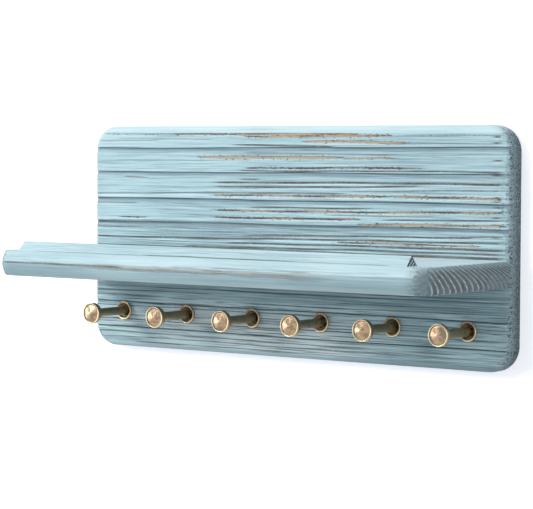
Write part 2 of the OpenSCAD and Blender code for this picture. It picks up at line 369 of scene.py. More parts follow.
def keyhole(piece, x, z):
    """Routes a round entry, a way up for a screw's shank and a wider one inside for its head."""
    drill(piece, x, z, OUTSIDE, KEYHOLE_DEPTH, KEYHOLE_HEAD)
    for start, radius in ((OUTSIDE, KEYHOLE_SHANK), (KEYHOLE_SKIN, KEYHOLE_HEAD)):
        cut(piece, block("slot", (x - radius, -KEYHOLE_DEPTH, z), (x + radius, -start, z + KEYHOLE_DROP)))
        drill(piece, x, z + KEYHOLE_DROP, start, KEYHOLE_DEPTH, radius)


def slice_rows(piece, axis, places, keep_whole):
    """Cuts the faces across an axis at each place. Faces that pass the test stay whole."""
    normal = Vector((0, 0, 0))
    normal[axis] = 1
    edit(piece)
    pick(piece, "faces", keep_whole)
    bpy.ops.mesh.hide(unselected=False)
    for place in places:
        select_all()
        bpy.ops.mesh.bisect(plane_co=normal * float(place), plane_no=normal)
    bpy.ops.mesh.reveal()
    done()


def inner(low, high, step):
    """Even places between two ends, without the ends."""
    count = max(1, round((high - low) / step))
    return [low + (high - low) * i / count for i in range(1, count)]


def points(piece):
    """The places of a piece's vertices, in millimetres."""
    flat = np.empty(len(piece.data.vertices) * 3)
    piece.data.vertices.foreach_get("co", flat)
    return flat.reshape(-1, 3) / MM


def facing_x(piece):
    """How far each vertex faces along X, from -1 to 1."""
    flat = np.empty(len(piece.data.vertices) * 3, dtype=np.float32)
    piece.data.vertex_normals.foreach_get("vector", flat)
    return flat.reshape(-1, 3)[:, 0]


def move_points(piece, places):
    piece.data.vertices.foreach_set("co", (places * MM).ravel())
    piece.data.update()


def mark(piece, **masks):
    """Keeps each mask on the piece's points, for its material."""
    for name, mask in masks.items():
        layer = piece.data.attributes.get(name) or piece.data.attributes.new(name, "FLOAT", "POINT")
        layer.data.foreach_set("value", np.asarray(mask, dtype=np.float32))


def press(piece, depth, direction="NORMAL"):
    """Presses the surface in by a depth in millimetres at each point, with an applied Displace."""
    steps = 256
    deepest = float(np.abs(depth).max())
    group = piece.vertex_groups.new(name="pressed")
    weights = np.clip(depth / deepest, 0, 1)
    for step in range(1, steps + 1):
        chosen = np.nonzero(np.rint(weights * steps) == step)[0]
        if len(chosen):
            group.add(chosen.tolist(), step / steps, "REPLACE")
    modifier = piece.modifiers.new("press", "DISPLACE")
    modifier.vertex_group = group.name
    modifier.mid_level = 0
    modifier.direction = direction
    modifier.strength = deepest * MM * (1 if direction == "Y" else -1)
    activate(piece)
    bpy.ops.object.modifier_apply(modifier=modifier.name)
    piece.vertex_groups.clear()


def finish_piece(piece, nodes, material, angle):
    """Smooth shading, material and body of a finished piece."""
    activate(piece)
    bpy.ops.object.shade_smooth_by_angle(angle=math.radians(angle))
    piece.data.materials.clear()
    piece.data.materials.append(material)
    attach(piece, "root")
    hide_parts(*nodes)


def tidy_mesh(piece):
    """Merges doubles and turns all faces outwards."""
    edit(piece)
    select_all()
    bpy.ops.mesh.remove_doubles(threshold=DOUBLE)
    bpy.ops.mesh.normals_make_consistent(inside=False)
    done()


def spun(name, profile, x, z, start, segments):
    """Turns a profile about an axis square to the wall. A profile point is a radius and a
    distance from the start plane, in millimetres."""
    clear_selection()
    first = profile[0]
    bpy.ops.mesh.primitive_plane_add(size=MM, location=(x + first[0] * MM, start - first[1] * MM, z))
    piece = apply_place(name)
    edit(piece)
    bpy.ops.mesh.select_mode(type="VERT")
    select_all()
    bpy.ops.mesh.merge(type="CENTER")
    for (r0, y0), (r1, y1) in zip(profile, profile[1:]):
        bpy.ops.mesh.extrude_region_move(
            TRANSFORM_OT_translate={"value": ((r1 - r0) * MM, (y0 - y1) * MM, 0)})
    select_all()
    bpy.ops.mesh.spin(steps=segments, angle=math.tau, center=(x, start, z), axis=(0, 1, 0))
    done()
    tidy_mesh(piece)
    return piece


def finish_row(first, nodes, material):
    """Finishes a piece, then a copy with its own mesh at each further node of its row."""
    finish_piece(first, [nodes[0]], material, angle=40)
    for i, node in enumerate(nodes[1:], start=2):
        other = first.copy()
        other.data = first.data.copy()
        other.name = other.data.name = first.name[:-1] + str(i)
        bpy.context.scene.collection.objects.link(other)
        other.data.transform(Matrix.Translation((centre_of(node)[0] - centre_of(nodes[0])[0], 0, 0)))
        finish_piece(other, [node], material, angle=40)


def turned_row(name, nodes, profile, polish_at):
    """Turns the first of a row of brass pieces, marks where it is polished and where light is painted on it,
    and copies it. Both come from the distance to the board, the distance to the axis and the angle round it."""
    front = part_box("peg_cup_1")[1].y
    x, z = centre_of(nodes[0])
    first = spun(f"{name}_1", profile, x, z, front, values("brass").segments)
    across, out, up = points(first).T - np.array([[x], [0], [z]]) / MM
    out = front / MM - out
    ring = np.hypot(across, up)
    mark(first, polish=np.clip(polish_at(out, ring, np.arctan2(up, across)), 0, 1), ring=ring)
    finish_row(first, nodes, once("aged brass", turned_brass))


# Worn grain

def ease(x):
    """Goes smoothly from 0 to 1 as x does."""
    x = np.clip(x, 0, 1)
    return x * x * (3 - 2 * x)


def ramp(x, start, run):
    """Goes smoothly from 0 at the start to 1 at the end of the run, downwards if it is negative."""
    return ease((x - start) / run)


def bell(x, middle, width):
    return np.exp(-((x - middle) / width) ** 2)


def scattered(seed, count, low, high, length_range, strength):
    """Fine streaks at seeded places, in the form of the lists above."""
    pick_from = np.random.default_rng(seed)
    streaks = []
    for _ in range(count):
        height = pick_from.uniform(low, high)
        run = pick_from.uniform(*length_range)
        middle = pick_from.uniform(-200, 200)
        force = strength * pick_from.uniform(0.35, 1.0)
        streaks.append((height, height + pick_from.normal(0, 0.5) + run * 0.004, middle - run / 2,
                        middle + run / 2, pick_from.uniform(0.22, 0.36), force,
                        0.5 * force * (pick_from.random() < 0.2), 0.24 * force))
    return streaks


def lay_streaks(along, across, streaks, seed, broaden=0.8):
    """Darkness, bareness and depth of a set of streaks at each point, how near it is to one that is worn to
    the wood, and a painted highlight along the lower side of each streak."""
    pick_from = np.random.default_rng(seed)
    dark, bare, depth, beside, lit_flank = (np.zeros(len(along)) for _ in range(5))
    for left, right, start, end, width, shade, worn, deep in streaks:
        a, b, c, d = pick_from.uniform(0, math.tau, 4)
        near = np.nonzero(np.abs(across - (left + right) / 2) < 6 + abs(right - left))[0]
        u, v = along[near], across[near]
        centre = left + (right - left) * (u - start) / (end - start)
        centre = centre + 0.28 * np.sin(u / 41 + a) + 0.14 * np.sin(u / 15 + b)
        # A streak thins out towards its ends, unless it runs off the wood
        taper = min(34, (end - start) / 3)
        fade = ease((u - start + 40 * (start < -RUN_OFF)) / taper) \
            * ease((end - u + 40 * (end > RUN_OFF)) / taper)
        beat = 0.88 + 0.09 * np.sin(u / 9.3 + c) + 0.03 * np.sin(u / 3.1 + d)
        off = (v - centre) / (width * broaden)
        body = np.exp(-off ** 2) * fade
        crisp = ramp(body, 0.28, 0.32)
        for mask, value in ((dark, crisp * beat * shade),
                            (bare, ramp(body, 0.24, 0.30) * worn * (0.86 + 0.14 * np.sin(u / 11 + d))),
                            (depth, crisp * deep),
                            (beside, bell(off, 0, 2.2) * fade * worn),
                            (lit_flank, bell(off, -2.1, 0.9) * fade * shade)):
            np.maximum.at(mask, near, value)
    return dark, bare, depth, beside, lit_flank


def groove(height, edge, depth, run):
    """Depth of a brushed groove: a crisp upper edge, then a hollow that runs out downwards."""
    t = edge - height
    crisp = run / 8
    hollow = depth * (1 + np.cos(math.pi * np.clip((t - crisp) / (run - crisp), 0, 1))) / 2
    return np.where(t < crisp, depth * ease(t / crisp), hollow) * (t > 0)


# Shader helpers

def add_node(tree, kind, inputs=(), **settings):
    """Adds a shader node. An input is a plain value or the socket that feeds it."""
    made = tree.nodes.new(kind)
    for name, value in settings.items():
        setattr(made, name, value)
    for key, value in dict(inputs).items():
        if isinstance(value, bpy.types.NodeSocket):
            tree.links.new(value, made.inputs[key])
        else:
            made.inputs[key].default_value = value
    return made


def calc(tree, operation, *terms, clamp=False):
    return add_node(tree, "ShaderNodeMath", dict(enumerate(terms)), operation=operation,
                    use_clamp=clamp).outputs[0]


def plus(tree, first, second, clamp=False):
    return calc(tree, "ADD", first, second, clamp=clamp)


def times(tree, first, second):
    return calc(tree, "MULTIPLY", first, second)


def ruffle(tree, mask, cloud, amount, clamp=False):
    """A mask made uneven by a noise."""
    return plus(tree, mask, times(tree, calc(tree, "SUBTRACT", cloud, 0.5), amount), clamp)


def between(tree, value, low, high, to_low=0.0, to_high=1.0, smooth=True):
    return add_node(tree, "ShaderNodeMapRange", {0: value, 1: low, 2: high, 3: to_low, 4: to_high},
                    interpolation_type="SMOOTHSTEP" if smooth else "LINEAR").outputs[0]


def blend_colour(tree, factor, first, second):
    return add_node(tree, "ShaderNodeMix", {0: factor, 6: first, 7: second}, data_type="RGBA").outputs[2]


def noise(tree, vector, size, detail, rough, scale=(1.0, 1.0, 1.0)):
    """Noise of a given size in metres, stretched where the scale along an axis is small."""
    stretched = add_node(tree, "ShaderNodeMapping", {0: vector, 3: scale}).outputs[0]
    return add_node(tree, "ShaderNodeTexNoise", {0: stretched, 2: 1.0 / size, 3: detail, 4: rough}
                    ).outputs[0]


def new_group(name, sockets_in, sockets_out):
    """A shader node group with named sockets."""
    group = bpy.data.node_groups.new(name, "ShaderNodeTree")
    kinds = {"float": "NodeSocketFloat", "colour": "NodeSocketColor", "vector": "NodeSocketVector"}
    for label, kind, default in sockets_in:
        socket = group.interface.new_socket(name=label, in_out="INPUT", socket_type=kinds[kind])
        if default is not None:
            socket.default_value = default
    for label, kind in sockets_out:
        group.interface.new_socket(name=label, in_out="OUTPUT", socket_type=kinds[kind])
    return group, group.nodes.new("NodeGroupInput"), group.nodes.new("NodeGroupOutput")


def put_out(group, made, *results):
    for place, result in enumerate(results):
        group.links.new(result, made.inputs[place])
    return group


# Sockets of the paint: masks of the grain, masks of wear and of painted light and shade kept on the piece,
# and colours
GRAIN = ("Fine", "Broad", "Speckle", "Patch")
WEAR_AND_LIGHT = ("Dark", "Bare", "Tone", "Warm", "Open", "Fleck")
PAINTS = ("Paint", "Pale", "Deep", "Glaze", "Tan", "Brown")


def brushed_grain_group():
    """Brushed softwood grain that runs along X: a fine, a broad, a speckled and a patchy mask."""
    group, given, made = new_group(
        "brushed grain", [("Vector", "vector", None), ("Fineness", "float", 1.0)],
        [(name, "float") for name in GRAIN])
    scaled = add_node(group, "ShaderNodeVectorMath", {0: given.outputs[0], 3: given.outputs[1]},
                      operation="SCALE").outputs[0]
    return put_out(group, made,
                   noise(group, scaled, 0.0009, 2.0, 0.6, (0.016, 0.5, 1.0)),
                   noise(group, scaled, 0.006, 3.0, 0.55, (0.06, 0.5, 1.0)),
                   noise(group, scaled, 0.0011, 2.0, 0.6, (0.35, 0.8, 1.0)),
                   noise(group, scaled, 0.045, 3.0, 0.5, (0.45, 1.0, 1.0)))


def worn_paint_group():
    """Chalky paint over stained softwood, from the grain masks and the piece's own wear, with painted light
    and painted shade from its tone.
    """
    group, given, made = new_group(
        "worn paint",
        [(name, "float", 0.5) for name in GRAIN]
        + [(name, "float", 1.0 if name == "Open" else 0.0) for name in WEAR_AND_LIGHT]
        + [(name, "colour", None) for name in PAINTS],
        [("Colour", "colour"), ("Roughness", "float"), ("Height", "float")])
    (fine, broad, speckle, patch, dark, bare, tone, warm, open_grain, fleck, paint, pale, deep, glaze,
     tan, brown) = given.outputs[:16]
    cloud = plus(group, times(group, broad, 0.9), times(group, patch, 0.7))
    # The tone carries painted light and painted shade: it lifts the coat to pale paint and on to near white,
    # and sinks it to deep paint
    lightness = plus(group, calc(group, "SUBTRACT", cloud, 0.8), tone)
    coat = paint
    lit_chalk = (0.88, 0.94, 0.96, 1.0)
    for low, high, most, other in ((0.0, 0.8, 1.0, pale), (0.0, -0.8, 1.0, deep), (0.95, 1.8, 0.6, lit_chalk)):
        amount = between(group, lightness, low, high, 0.0, most, smooth=False)
        coat = blend_colour(group, amount, coat, other)
    for low, high, strength, other in ((0.53, 0.66, 0.30, glaze), (0.47, 0.34, 0.40, pale)):
        lines = times(group, between(group, fine, low, high, 0.0, strength), open_grain)
        coat = blend_colour(group, lines, coat, other)
    # The dark mask holds the glaze streaks and also the painted shadow lines at the grooves' edges
    dark_mask = times(group, dark, between(group, speckle, 0.25, 0.50, 0.72, 1.0))
    stain = blend_colour(group, between(group, warm, 0.0, 1.0, smooth=False), glaze, brown)
    stain = blend_colour(group, between(group, warm, 1.0, 2.0, smooth=False), stain, tan)
    coat = blend_colour(group, times(group, dark_mask, 0.94), coat, stain)
    worn = times(group, bare, plus(group, 0.55, times(group, speckle, 0.9)))
    wood = blend_colour(group, between(group, worn, 0.48, 0.76), brown, tan)
    coat = blend_colour(group, times(group, between(group, speckle, 0.57, 0.63), fleck), coat, brown)
    return put_out(group, made,
                   blend_colour(group, between(group, worn, 0.28, 0.52), coat, wood),
                   plus(group, 0.56, times(group, fine, 0.22)),
                   calc(group, "SUBTRACT", times(group, fine, 0.7), times(group, dark_mask, 0.6)))


def patina_group():
    """Tarnish on brass: a mask from 0, dark, to 1, bright, of how polished it is and of painted light on the
    cups, with turning lines.
    """
    group, given, made = new_group(
        "patina", [("Vector", "vector", None), ("Polish", "float", 0.5), ("Ring", "float", 0.0)],
        [("Polish", "float"), ("Mottle", "float"), ("Height", "float")])
    place, given_polish, ring = given.outputs[:3]
    cloud = noise(group, place, 0.0035, 4.0, 0.6)
    grit = noise(group, place, 0.0007, 2.0, 0.6)
    # Rims that are kept bright have few clouds
    worn = times(group, calc(group, "SUBTRACT", 1.15, given_polish), 0.8)
    lathe = calc(group, "SINE", times(group, ring, 19.0))
    height = plus(group, times(group, cloud, 0.4), times(group, grit, 0.4))
    height = plus(group, height, times(group, lathe, 0.05))
    return put_out(group, made, ruffle(group, given_polish, cloud, worn, clamp=True), cloud,
                   times(group, height, calc(group, "SUBTRACT", 1.0, given_polish)))


def once(name, make):
    """A material or group of that name, made the first time that it is asked for."""
    store = bpy.data.node_groups if make.__name__.endswith("_group") else bpy.data.materials
    return store.get(name) or make()


def start_material(name):
    """A material with one Principled shader and the piece's own coordinates."""
    material = bpy.data.materials.new(name)
    material.use_nodes = True
    tree = material.node_tree
    shader = tree.nodes["Principled BSDF"]
    place = add_node(tree, "ShaderNodeTexCoord").outputs["Object"]
    return material, tree, shader, place


def own_mask(tree, name):
    return add_node(tree, "ShaderNodeAttribute", attribute_name=name).outputs["Fac"]


def dress(tree, shader, feeds, height, strength, distance, plain):
    """Feeds a material's shader, with relief from a height, and sets its plain values."""
    relief = add_node(tree, "ShaderNodeBump", {"Height": height, "Strength": strength, "Distance": distance})
    for name, socket in (*feeds.items(), ("Normal", relief.outputs[0])):
        tree.links.new(socket, shader.inputs[name])
    for name, value in plain.items():
        shader.inputs[name].default_value = value


def painted_wood():
    """Worn paint on the long grain, stained rings on the cut ends."""
    paint = values("paint")
    material, tree, shader, place = start_material("worn blue paint")
    grain = add_node(tree, "ShaderNodeGroup", {"Vector": place, "Fineness": 1.0},
                     node_tree=once("brushed grain", brushed_grain_group))
    fed = {name: grain.outputs[name] for name in GRAIN}
    fed.update({name: own_mask(tree, name.lower()) for name in WEAR_AND_LIGHT})
    fed.update({name: getattr(paint, name.lower()) for name in PAINTS})
    coat = add_node(tree, "ShaderNodeGroup", fed, node_tree=once("worn paint", worn_paint_group))
    cut_end = own_mask(tree, "cut_end")
    grit = noise(tree, place, 0.0015, 3.0, 0.6)
    dots = noise(tree, place, 0.0016, 2.0, 0.7, (0.8, 1.0, 1.0))
    cloud = noise(tree, place, 0.012, 2.0, 0.5)
    rings = ruffle(tree, own_mask(tree, "rings"), grit, 0.7)
    end = blend_colour(tree, between(tree, rings, 0.05, 0.5), paint.end_dark, paint.end_grain)
    # Paint clings to the upper part of a cut end and thins out in specks at its border
    haze = ruffle(tree, own_mask(tree, "haze"), grit, 1.1)
    for mask, over in (
            (between(tree, rings, 0.55, 0.95), paint.end_light),
            (between(tree, cloud, 0.40, 0.62, 0.0, 0.30), paint.end_grain),
            (times(tree, between(tree, dots, 0.52, 0.62, 0.0, 0.75), own_mask(tree, "speck")), paint.glaze),
            (times(tree, own_mask(tree, "bare"), 0.6), paint.tan),
            (between(tree, haze, 0.30, 0.95, 0.0, 0.60), paint.paint)):
        end = blend_colour(tree, mask, end, over)
    mask = times(tree, between(tree, ruffle(tree, cut_end, dots, 1.6), 0.18, 0.74),
                 between(tree, cut_end, 0.0, 0.08))
    dress(tree, shader, {"Base Color": blend_colour(tree, mask, coat.outputs[0], end),
                         "Roughness": plus(tree, coat.outputs[1], times(tree, mask, 0.12))},
          plus(tree, coat.outputs[2], times(tree, grit, 0.25)), 0.55, 0.0003, {"Specular IOR Level": 0.28})
    return material


def turned_brass():
    """Aged brass: bright where hands rub it and where painted light falls on the cups, olive and dark in its
    hollows.
    """
    brass = values("brass")
    material, tree, shader, place = start_material("aged brass")
    patina = add_node(tree, "ShaderNodeGroup",
                      {"Vector": place, "Polish": own_mask(tree, "polish"), "Ring": own_mask(tree, "ring")},
                      node_tree=once("patina", patina_group))
    polish, mottle, height = patina.outputs
    spots = noise(tree, place, 0.006, 3.0, 0.6)
    warm = blend_colour(tree, between(tree, spots, 0.48, 0.60, 0.0, 0.85), brass.warm, brass.grey)
    warm = blend_colour(tree, between(tree, mottle, 0.49, 0.60, 0.0, 0.8), warm, brass.copper)
    metal = brass.soot
    for low, high, over in ((0.02, 0.14, brass.aged), (0.14, 0.60, warm), (0.70, 0.92, brass.bright)):
        metal = blend_colour(tree, between(tree, polish, low, high), metal, over)
    rough = between(tree, polish, 0.0, 1.0, 0.42, 0.28, smooth=False)
    dress(tree, shader, {"Base Color": metal, "Roughness": rough}, height, 0.35, 0.0001, {"Metallic": 0.80})
    return material


def zinc_plate():
    """Zinc plating with faint clouds."""
    material, tree, shader, place = start_material("zinc plate")
    cloud = noise(tree, place, 0.002, 3.0, 0.6)
    shade = between(tree, cloud, 0.35, 0.65, 0.0, 0.45)
    zinc = blend_colour(tree, shade, values("brass").zinc, srgb(150, 154, 156))
    rough = between(tree, cloud, 0.3, 0.7, 0.28, 0.42, smooth=False)
    dress(tree, shader, {"Base Color": zinc, "Roughness": rough}, cloud, 0.2, 0.0001, {"Metallic": 1.0})
    return material


# Pieces

def end_rings(depth, height):
    """Growth rings on a cut end: arches that stand at the bottom and lean towards the front."""
    lean = 0.045 + 0.0006 * depth
    sweep = depth + lean * height ** 2 + 1.3 * np.sin(depth / 17) + 0.5 * np.sin(height / 2.3 + depth / 9)
    turns = sweep / 8.2 + 0.0001 * sweep ** 2
    wave = 0.5 + 0.5 * np.cos(math.tau * turns)
    broken = 0.86 + 0.14 * np.sin(height * 1.7 + depth / 3.7) * np.sin(depth / 5.3)
    return wave ** 3.2 * broken


def board_streaks(x, height, count):
    """The streaks on the front of the board, in the form that lay_streaks gives."""
    fine = []
    for row in ((11, count, 66, 175, (60, 300), 0.50), (12, count // 3, 4, 62, (40, 200), 0.80),
                (13, count // 2, 85, 106, (60, 300), 0.75), (14, count, 3, 46, (16, 90), 1.0),
                (15, count, 66, 175, (20, 90), 0.40)):
        fine += scattered(*row)
    # Short dark nicks where the grain runs out at both ends of the board
    nicks = [(a, b, -230, -188 - k % 5, 0.45, 1.0, 0.0, 0.2) if k % 2 else
             (a, b, 181 + k % 5, 193, 0.45, 1.0, 0.3, 0.2)
             for k, (a, b, *_) in enumerate(scattered(16, 34, 20, 176, (20, 34), 1.0))]
    long = [(a, b, c, d, width * (1.15 if a > UNDER_SHELF else 0.82), *rest)
            for a, b, c, d, width, *rest in list(BOARD_STREAKS) + nicks]
    dark, bare, depth, beside, lit_flank = lay_streaks(x, height, long, 3, 1.35)
    fine_dark, fine_bare, fine_depth, *_ = lay_streaks(x, height, fine, 4)
    above = height > UNDER_SHELF
    # The left end of the board is calmer
    calm = np.maximum(0.55 + 0.45 * ramp(x, -160, 70), ramp(height, 122, -14))
    dark = np.maximum(dark * (0.4 + 0.6 * calm), fine_dark * np.where(above, calm, 1))
    # Below the shelf the lines fade towards the right
    dark = dark * np.where(above, 1, 0.95 - 0.30 * ramp(x, 40, 60) - 0.20 * bell(x, -90, 45))
    return dark, np.maximum(bare, fine_bare) * calm, np.maximum(depth, fine_depth), beside, lit_flank


def board_tone(x, height):
    """Painted light and shade on the front of the board, in broad patches."""
    corner = ramp(x, 130, 40)
    # Below the shelf: painted shadow of the shelf, reaching lower towards the right, over painted light lower
    # down
    below = 0.95 - 1.05 * ramp(height, 30, 18) - 0.20 * ramp(height, 48, 10) - 0.45 * ramp(height, 42, 6) \
        - 0.35 * corner * ramp(height, 44, 6) \
        + 0.75 * bell(x, -100, 45) * bell(height, 31, 11) \
        + 0.35 * bell(x, -20, 70) * ramp(height, 46, -8) \
        - 0.75 * ramp(x, 40, 120) \
        - 0.70 * ramp(x, 50, 45) * ramp(height, 36, -6) * (1 - 0.5 * corner) \
        - 0.50 * ramp(x, 50, 60) * ramp(height, 10, -6) \
        + 0.40 * bell(x, 40, 45) * ramp(height, 20, -6) \
        - ramp(x, -115, -45) * (0.9 - 0.5 * bell(height, 27, 6) + 0.4 * ramp(height, 16, -8))
    # Above the shelf: painted shade that deepens towards the shelf, and paler paint towards the left end
    above = -0.10 - 0.14 * ramp(height, 116, -25) + 0.15 * ramp(x, -120, -70)
    return np.where(height > UNDER_SHELF, above, below)


def board_grooves(size, x, height, tone, dark, warm):
    """The depth of the brushed grooves, with painted shade in and below each one and a dark painted shadow
    line at its crisp edge; a wide groove also gets a pale painted highlight above its edge, and its shadow
    line takes the warmth off the streaks there.
    """
    shape = np.zeros(len(x))
    for edge, rise, wide in WIDE_GROOVES:
        line = edge + rise * ramp(x, -200, 400) + 0.25 * np.sin(x / 33 + edge)
        hollow = groove(height, line, size.groove_depth / MM, size.groove_run / MM)
        shape = np.maximum(shape, hollow)
        tone = tone - 1.05 * hollow / (size.groove_depth / MM) \
            - 0.35 * (height < line) * np.exp((height - line) / 5) + 0.30 * bell(height, line + 1.6, 0.9)
        shade = (0.9 - 0.3 * wide) * ramp(bell(height, line - 0.8 * wide, wide), 0.2, 0.45) \
            * (0.85 + 0.15 * np.sin(x / 13 + edge))
        warm = np.where(shade > dark, 0, warm)
        dark = np.maximum(dark, shade)
    for edge in NARROW_GROOVES:
        line = edge + 0.3 * np.sin(x / 47 + edge)
        hollow = groove(height, line, size.narrow_depth / MM, size.narrow_run / MM)
        shape = np.maximum(shape, hollow)
        tone = tone - 0.6 * hollow / (size.narrow_depth / MM)
        dark = np.maximum(dark, 0.9 * ramp(bell(height, line - 0.5, 0.45), 0.2, 0.45))
    return shape, tone, dark, warm


class KEYHOLDER_OT_board(bpy.types.Operator):
    """Build the painted backboard with its brushed grooves and the slots in its back"""
    bl_idname = "keyholder.board"
    bl_label = "Backboard"

    def execute(self, context):
        size = values("board")
        low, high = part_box("backboard")
        board = block("painted_board", low, high)
        edit(board)
        pick(board, "edges", lambda e: abs(e.verts[0].co.y - e.verts[1].co.y) > MM)
        bpy.ops.mesh.bevel(offset=size.corner_radius, segments=14)
        pick(board, "edges", lambda e: all(v.co.y < low.y + TOUCH for v in e.verts))
        bpy.ops.mesh.bevel(offset=size.edge_radius, segments=7)
        done()
        bore(board, PEGS, centre_of("peg_1")[1], PEG_HOLES)
        bore(board, SHELF_SCREWS, centre_of("shelf_screw_1")[1], SHELF_SCREW_HOLES)
        for x in (-KEYHOLE_X, KEYHOLE_X):
            keyhole(board, x, low.z + KEYHOLE_Z)

        # Only the front and the rim are cut fine: the back and the holes' walls stay whole
        rim, side_row, back_row, straight_end = 0.0061, 0.002, 0.0003, 0.021

        def inside(face):
            centre = face.calc_center_median()
            outer = abs(centre.x) > high.x - rim or abs(centre.z) > high.z - rim or centre.y < low.y + TOUCH
            return face.normal.y > 0.5 or not outer

        slice_rows(board, 2, inner(low.z, high.z, size.row), inside)
        slice_rows(board, 0, inner(low.x, high.x, size.column), inside)
        slice_rows(board, 1, inner(low.y + size.edge_radius, high.y, side_row) + [high.y - back_row],
                   lambda f: f.normal.y > 0.5 or abs(f.calc_center_median().x) < high.x - straight_end)

        x, y, z = points(board).T
        height = z - low.z / MM
        above = height > UNDER_SHELF
        dark, bare, depth, beside, lit_flank = board_streaks(x, height, size.fine_streaks)
        # Painted light and shade in broad patches, and painted highlights under the streaks
        tone = board_tone(x, height) + 0.55 * lit_flank * np.where(above, 1, 0.8)
        shape, tone, dark, warm = board_grooves(size, x, height, tone, dark, above * ease(dark / 0.25))
        # The rounded edges along the grain are rubbed smooth; the top one is pale with painted light and the
        # bottom one darker with painted shade, more so towards the right
        rubbed_and_lit = np.maximum(ramp(height, 176.6, 1.2), ramp(height, 5.0, -2.5))
        tone = tone * (1 - rubbed_and_lit) + rubbed_and_lit * np.where(height > 90, 0.62, 0.1 - 1.2 * ramp(x, 20, 120))
        facing = np.clip((low.y / MM + 6 - y) / 6, 0, 1)
        depth = (shape + depth * (1 - rubbed_and_lit)) * ease(facing)
        # Streaks end before the cut ends, which are frayed and worn at the left
        side = ramp(np.abs(facing_x(board)), 0.15, 0.80)
        keep = (1 - side) * (1 - 0.85 * rubbed_and_lit * (height < 179.9)) * (1 - 0.65 * ramp(x, 191, 3) * above)
        worn_edge = ramp(x, -197, -1) * ramp(facing, 0.2, 0.3) * (0.7 + 0.3 * np.sin(height * 1.9))
        fleck = 0.8 * ramp(beside, 0.12, 0.3) * keep + 0.5 * ramp(x, 190, 3) * above * (1 - side)
        open_grain = 1 + 0.2 * (height < UNDER_SHELF) \
            + 1.1 * ramp(height, 46, -6) * (1 - 0.5 * ramp(x, 40, 60))
        masks = {"dark": np.maximum(dark * keep, 0.8 * worn_edge),
                 "bare": np.maximum(bare * keep, 0.25 * worn_edge),
                 "tone": tone - 0.5 * side, "warm": np.maximum(warm, worn_edge), "fleck": fleck,
                 "open": open_grain * (1 - 0.7 * rubbed_and_lit),
                 "cut_end": np.maximum(0.62 * side, 0.12 * ramp(np.abs(x), 188, 5)),
                 "rings": 0.55 * ramp(y, -3, -8) + 0.08 * np.sin(height * 1.1),
                 "haze": 0.06 + 0.75 * (1 - side), "speck": np.ones(len(x))}
        # The back has one even coat
        behind = y > high.y / MM - 0.01
        even = {"tone": 0.2, "open": 0.8, "haze": 0.8, "speck": 1.0}
        mark(board, **{name: np.where(behind, even.get(name, 0.0), mask) for name, mask in masks.items()})
        press(board, depth, "Y")
        finish_piece(board, ["backboard"], once("worn blue paint", painted_wood), angle=60)
        return {"FINISHED"}


def shelf_wear(x, girth):
    """Tone, darkness, bareness, warmth and depth along the shelf: wear, with painted light and shade in the
    tone. The girth goes round the nose from the middle of the front edge, up over the top or down on under
    the shelf."""
    fine = scattered(21, 36, -9, 10, (40, 220), 0.22) + scattered(22, 60, 14, 130, (40, 240), 0.25) \
        + scattered(23, 120, -130, -10, (40, 240), 0.45)
    dark, bare, depth, *_ = lay_streaks(x, girth, SHELF_STREAKS, 5)
    fine_dark, fine_bare, fine_depth, *_ = lay_streaks(x, girth, fine, 6)
    # Above the worn arris the nose is pale with painted light on the upper half that faces up, and below it
    # darker with painted shade; both darken towards the left end, the lower half also towards the right. The
    # top is pale with painted light, and a pale painted highlight runs along the bottom edge.
    arris = 0.6 - 0.25 * ramp(x, 10, 30) + 0.6 * ramp(x, 60, 40) + 1.6 * ramp(x, 115, 50)
    upper = 0.42 - 0.28 * ramp(x, -50, -60)
    lower = -0.22 - 0.40 * ramp(x, -60, -110) - 0.25 * ramp(x, 60, 60) + 0.50 * ramp(girth, -5, -4)
    tone = lower + (upper - lower) * ease(girth - arris + 0.5) + 0.6 * ramp(girth, 12, 6) \
        + 0.7 * bell(girth, -9.2, 0.7)
    # The arris is rubbed to a pale tan band with a greyer one under it
    ragged = 0.5 * np.sin(x / 7) + 0.3 * np.sin(x / 2.9 + 1)
    along = ramp(x, -130, 40) * ramp(x, 150, -70)
    tan_band = ease((girth - arris + 0.2 + 0.3 * ragged) / 0.5) \
        * ease((arris + 2.2 + 0.5 * ragged - girth) / 0.7)
    grey_band = ease((girth - arris + 2.3 + 1.2 * ramp(x, 60, 40) + 0.5 * ragged) / 0.7) \
        * ease((arris + 0.2 - 0.3 * ragged - girth) / 0.5)
    band = along * (0.56 * tan_band + 0.60 * grey_band)
    warm = np.where(dark > band, 0.8, 0.7 + (0.85 * tan_band + 0.65 * grey_band * (1 - tan_band)) * along)
    dark = np.maximum(np.maximum(dark, band), fine_dark)
    return tone, dark, np.maximum(bare, fine_bare), warm, np.maximum(depth, fine_depth)


